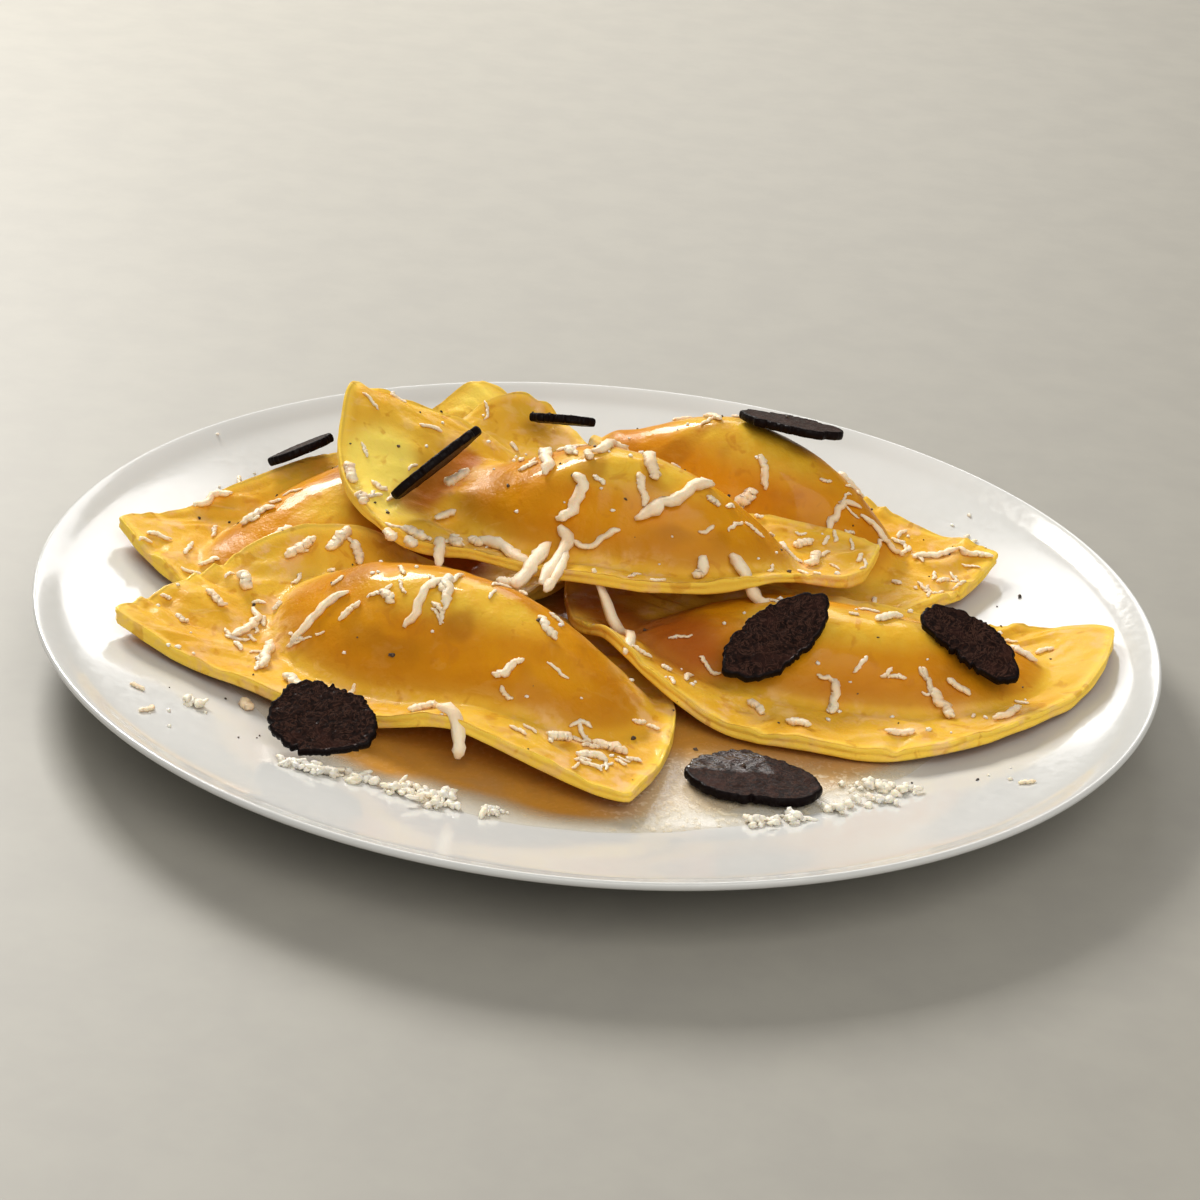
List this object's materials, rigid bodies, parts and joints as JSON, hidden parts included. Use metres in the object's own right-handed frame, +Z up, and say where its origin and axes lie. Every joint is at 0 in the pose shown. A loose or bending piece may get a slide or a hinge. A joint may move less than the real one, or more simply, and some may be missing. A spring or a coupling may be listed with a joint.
{
  "type": "plate of ravioli",
  "caption": "Half-moon ravioli heaped on a shallow round glazed plate, with slices of black truffle lying on them; a plated pasta dish.",
  "frame": {"origin": "centre of the plate's foot, on the surface the plate stands on", "axes": "+Z up along the plate's axis; +Y towards the back of the dish, where the highest flanges stand; +X to the right as the dish is served"},
  "size_m": [0.24, 0.24, 0.0447],
  "materials": {
    "glaze": "gloss",
    "dough": "soft, buttered",
    "truffle": "matte"
  },
  "bodies": {
    "root": {"plate": "glaze", "raviolo_back": "dough", "raviolo_back_left": "dough", "raviolo_front_left": "dough", "raviolo_back_right": "dough", "raviolo_front_right": "dough", "raviolo_top": "dough", "truffle_front_left": "truffle", "truffle_front": "truffle", "truffle_centre_right": "truffle", "truffle_far_right": "truffle", "truffle_on_top": "truffle", "truffle_back_right": "truffle", "truffle_back_left": "truffle", "truffle_back": "truffle"}
  },
  "joints": []
}
